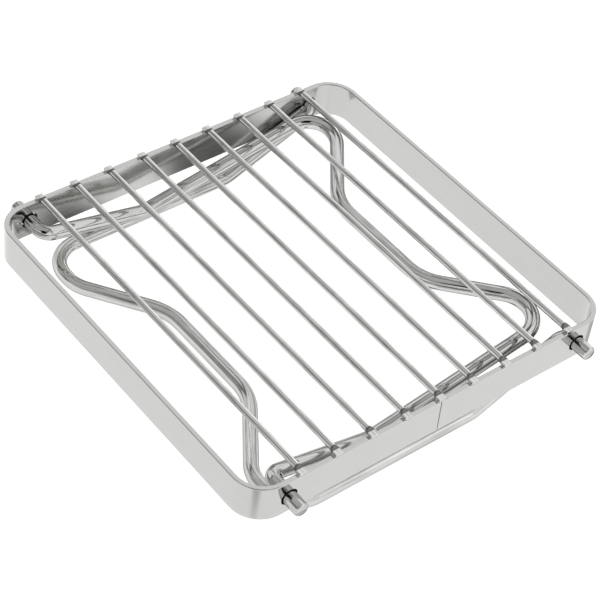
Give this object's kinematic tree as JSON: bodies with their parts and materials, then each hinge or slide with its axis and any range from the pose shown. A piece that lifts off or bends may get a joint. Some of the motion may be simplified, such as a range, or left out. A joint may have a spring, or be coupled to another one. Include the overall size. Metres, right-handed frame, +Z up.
{
  "type": "folding wire rack",
  "caption": "Square steel wire rack: a flat-strip band frame with round cross wires on top and two bent-rod legs that fold out from pivot holes near its corners.",
  "frame": {"origin": "under the middle of the frame, on the surface that the folded rack lies on", "axes": "+Z up, +Y along the cross wires and the two pivot axes, +X from the upper leg's pivot to the lower leg's pivot"},
  "size_m": [0.16, 0.172, 0.0293],
  "materials": {
    "strip_steel": "satin",
    "wire_steel": "satin",
    "rod_steel": "polished"
  },
  "bodies": {
    "rack_frame": {"frame_band": "strip_steel", "wire_1": "wire_steel", "wire_2": "wire_steel", "wire_3": "wire_steel", "wire_4": "wire_steel", "wire_5": "wire_steel", "wire_6": "wire_steel", "wire_7": "wire_steel", "wire_8": "wire_steel", "wire_9": "wire_steel"},
    "upper_leg": {"left_leg": "rod_steel"},
    "lower_leg": {"right_leg": "rod_steel"}
  },
  "joints": [
    {"name": "lower_leg_fold", "type": "hinge", "parent": "rack_frame", "child": "lower_leg", "pos_m": [0.065, 0, 0.01975], "axis": [0, -1, 0], "range_deg": [0, 104]},
    {"name": "upper_leg_fold", "type": "hinge", "parent": "rack_frame", "child": "upper_leg", "pos_m": [-0.065, 0, 0.01975], "axis": [0, 1, 0], "range_deg": [0, 111.1]}
  ],
  "couplings": [
    {"joint": "upper_leg_fold", "follows": "lower_leg_fold", "ratio": 1.0673}
  ]
}
